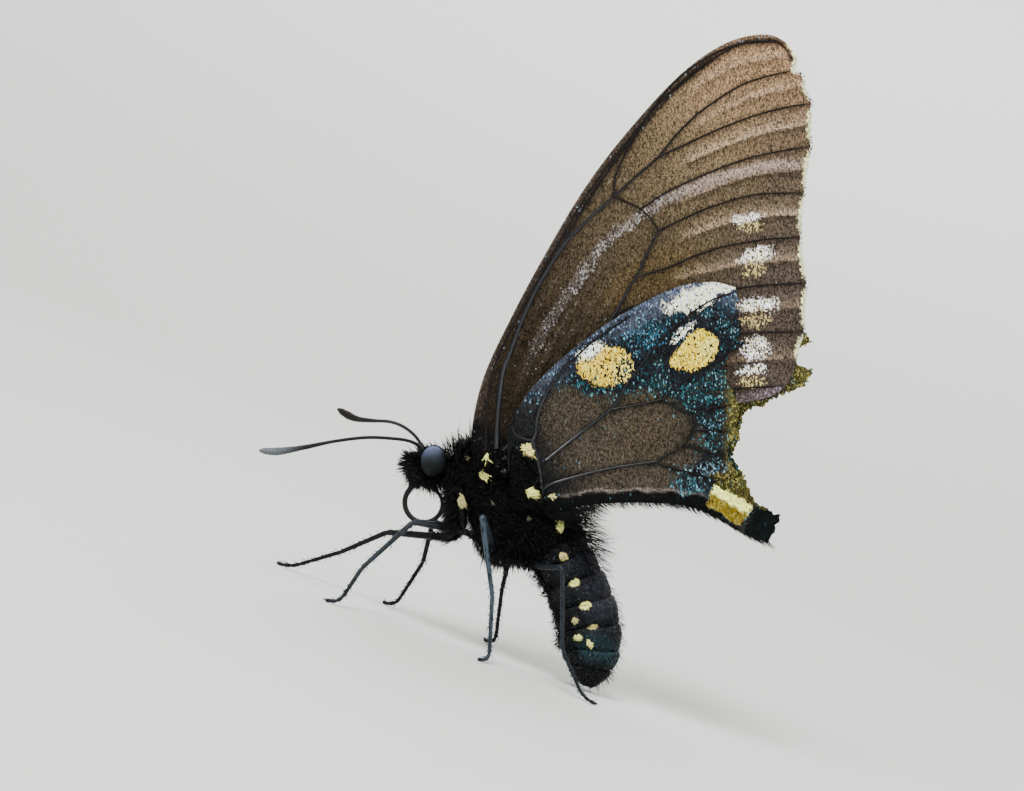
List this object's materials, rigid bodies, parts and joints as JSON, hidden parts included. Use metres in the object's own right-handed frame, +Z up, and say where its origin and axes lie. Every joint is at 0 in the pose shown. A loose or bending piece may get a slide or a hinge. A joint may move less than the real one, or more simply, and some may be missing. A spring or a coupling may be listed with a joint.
{
  "type": "swallowtail butterfly",
  "caption": "Standing swallowtail butterfly, wings closed over its back, abdomen curled down, hind wings worn, feelers forward, proboscis coiled.",
  "frame": {"origin": "on the floor under the middle of the bounding box, level with the soles of the six feet", "axes": "+Z up, -X the way the head faces, +Y the animal's right side; the closed wings stand in the XZ plane"},
  "size_m": [0.048, 0.022, 0.0642],
  "materials": {
    "black_fur": "dull black hair over a black hide, with cream tufts",
    "abdomen_scales": "black scales with a dark teal sheen, short black hairs and cream spots",
    "leg_shell": "satin black horn with a grey-blue bloom",
    "eye_shell": "finely faceted dark eye with a grey-blue top",
    "fore_wing_scales": "dull brown wing scales, paler between the veins, with cream spots",
    "hind_wing_scales": "grey-brown and metallic blue wing scales with orange and cream spots"
  },
  "bodies": {
    "root": {"head": "black_fur", "prothorax": "black_fur", "thorax": "black_fur", "abdomen_1": "abdomen_scales", "abdomen_2": "abdomen_scales", "abdomen_3": "abdomen_scales", "abdomen_4": "abdomen_scales", "abdomen_5": "abdomen_scales", "abdomen_6": "abdomen_scales", "abdomen_7": "abdomen_scales", "eye_left": "eye_shell", "eye_right": "eye_shell", "palp_left": "black_fur", "palp_right": "black_fur", "proboscis": "leg_shell", "antenna_left": "leg_shell", "antenna_right": "leg_shell", "fore_wing_left": "fore_wing_scales", "fore_wing_right": "fore_wing_scales", "hind_wing_left": "hind_wing_scales", "hind_wing_right": "hind_wing_scales", "leg_left_front": "leg_shell", "leg_left_middle": "leg_shell", "leg_left_hind": "leg_shell", "leg_right_front": "leg_shell", "leg_right_middle": "leg_shell", "leg_right_hind": "leg_shell"}
  },
  "joints": []
}
